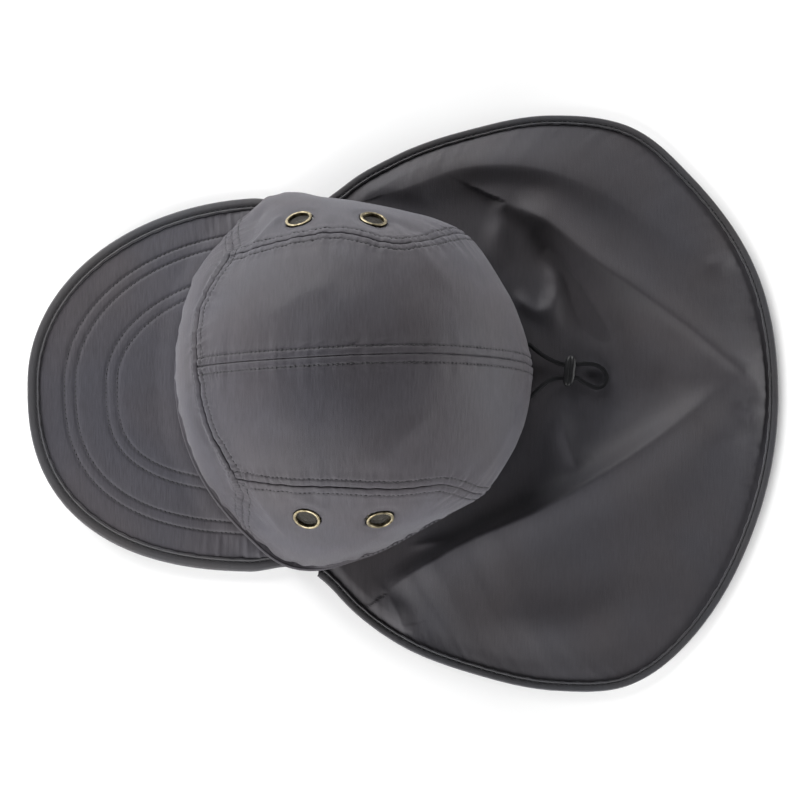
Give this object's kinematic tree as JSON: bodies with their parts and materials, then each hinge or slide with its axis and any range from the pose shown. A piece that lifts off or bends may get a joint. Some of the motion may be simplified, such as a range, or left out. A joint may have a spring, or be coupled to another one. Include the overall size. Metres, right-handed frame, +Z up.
{
  "type": "hiking cap with neck flap",
  "caption": "Soft cloth cap with a stiff curved peak, vented side panels, and a wide neck flap with an elastic cord and lock.",
  "frame": {"origin": "on the table, under the middle of the cap without its loose cord", "axes": "the peak points to -X and the flap to +X, the wearer's right is +Y, +Z is up from the table"},
  "size_m": [0.3738, 0.2894, 0.1068],
  "materials": {
    "crown_cloth": "matt woven nylon",
    "flap_cloth": "matt woven nylon",
    "tape_cloth": "bias tape",
    "eyelet_brass": "antique",
    "screen_mesh": "open mesh",
    "elastic_cord": "braided cover",
    "lock_plastic": "satin"
  },
  "bodies": {
    "root": {"crown_front": "crown_cloth", "crown_side_right": "crown_cloth", "crown_side_left": "crown_cloth", "crown_top_right": "crown_cloth", "crown_top_left": "crown_cloth", "crown_hem": "crown_cloth", "peak": "crown_cloth", "peak_binding": "tape_cloth", "neck_flap": "flap_cloth", "flap_binding": "tape_cloth", "eyelet_right_front": "eyelet_brass", "eyelet_right_rear": "eyelet_brass", "eyelet_left_front": "eyelet_brass", "eyelet_left_rear": "eyelet_brass", "eyelet_cord_right": "eyelet_brass", "eyelet_cord_left": "eyelet_brass", "screen_right_front": "screen_mesh", "screen_right_rear": "screen_mesh", "screen_left_front": "screen_mesh", "screen_left_rear": "screen_mesh", "cord": "elastic_cord", "cord_lock": "lock_plastic"}
  },
  "joints": []
}
